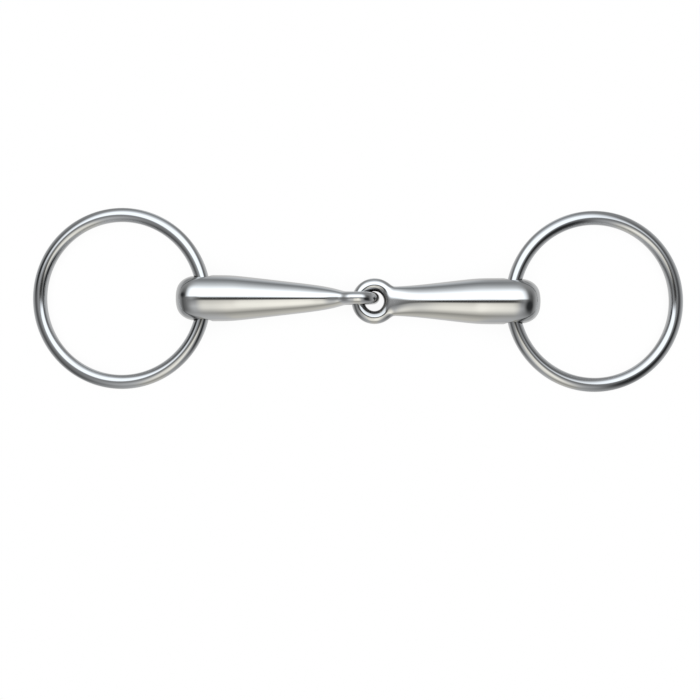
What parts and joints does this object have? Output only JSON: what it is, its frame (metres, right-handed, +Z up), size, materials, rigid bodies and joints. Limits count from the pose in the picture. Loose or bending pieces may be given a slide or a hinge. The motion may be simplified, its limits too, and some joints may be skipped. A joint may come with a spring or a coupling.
{
  "type": "snaffle bit",
  "caption": "Loose ring snaffle bit: two thick hollow tapered mouthpiece halves linked by interlocking eyes, with a round-wire ring through each bulb end.",
  "frame": {"origin": "fold axis of the centre joint, midway between the two rings, which is the centre of the whole bit's box as it lies on a table", "axes": "+X along the mouthpiece towards the right ring, +Y along the ring holes, +Z up from the table that the bit lies on"},
  "size_m": [0.2834, 0.0798, 0.02],
  "materials": {
    "polished_steel": "mirror-polished stainless steel casting",
    "polished_wire": "mirror-polished stainless steel wire, slightly greyer"
  },
  "bodies": {
    "right_cannon": {"right_cannon": "polished_steel"},
    "left_cannon": {"left_cannon": "polished_steel"},
    "left_ring": {"left_ring": "polished_wire"},
    "right_ring": {"right_ring": "polished_wire"}
  },
  "joints": [
    {"name": "centre_fold", "type": "hinge", "parent": "right_cannon", "child": "left_cannon", "pos_m": [0, 0, 0], "axis": [0, 1, 0], "range_deg": [-80, 80]},
    {"name": "left_ring_swing", "type": "hinge", "parent": "left_cannon", "child": "left_ring", "pos_m": [-0.0672, 0.00065, 0], "axis": [0, 1, 0], "range_deg": [-84.4, 95.6]},
    {"name": "right_ring_swing", "type": "hinge", "parent": "right_cannon", "child": "right_ring", "pos_m": [0.0672, -0.00065, 0], "axis": [0, -1, 0], "range_deg": [-84.4, 95.6]}
  ]
}
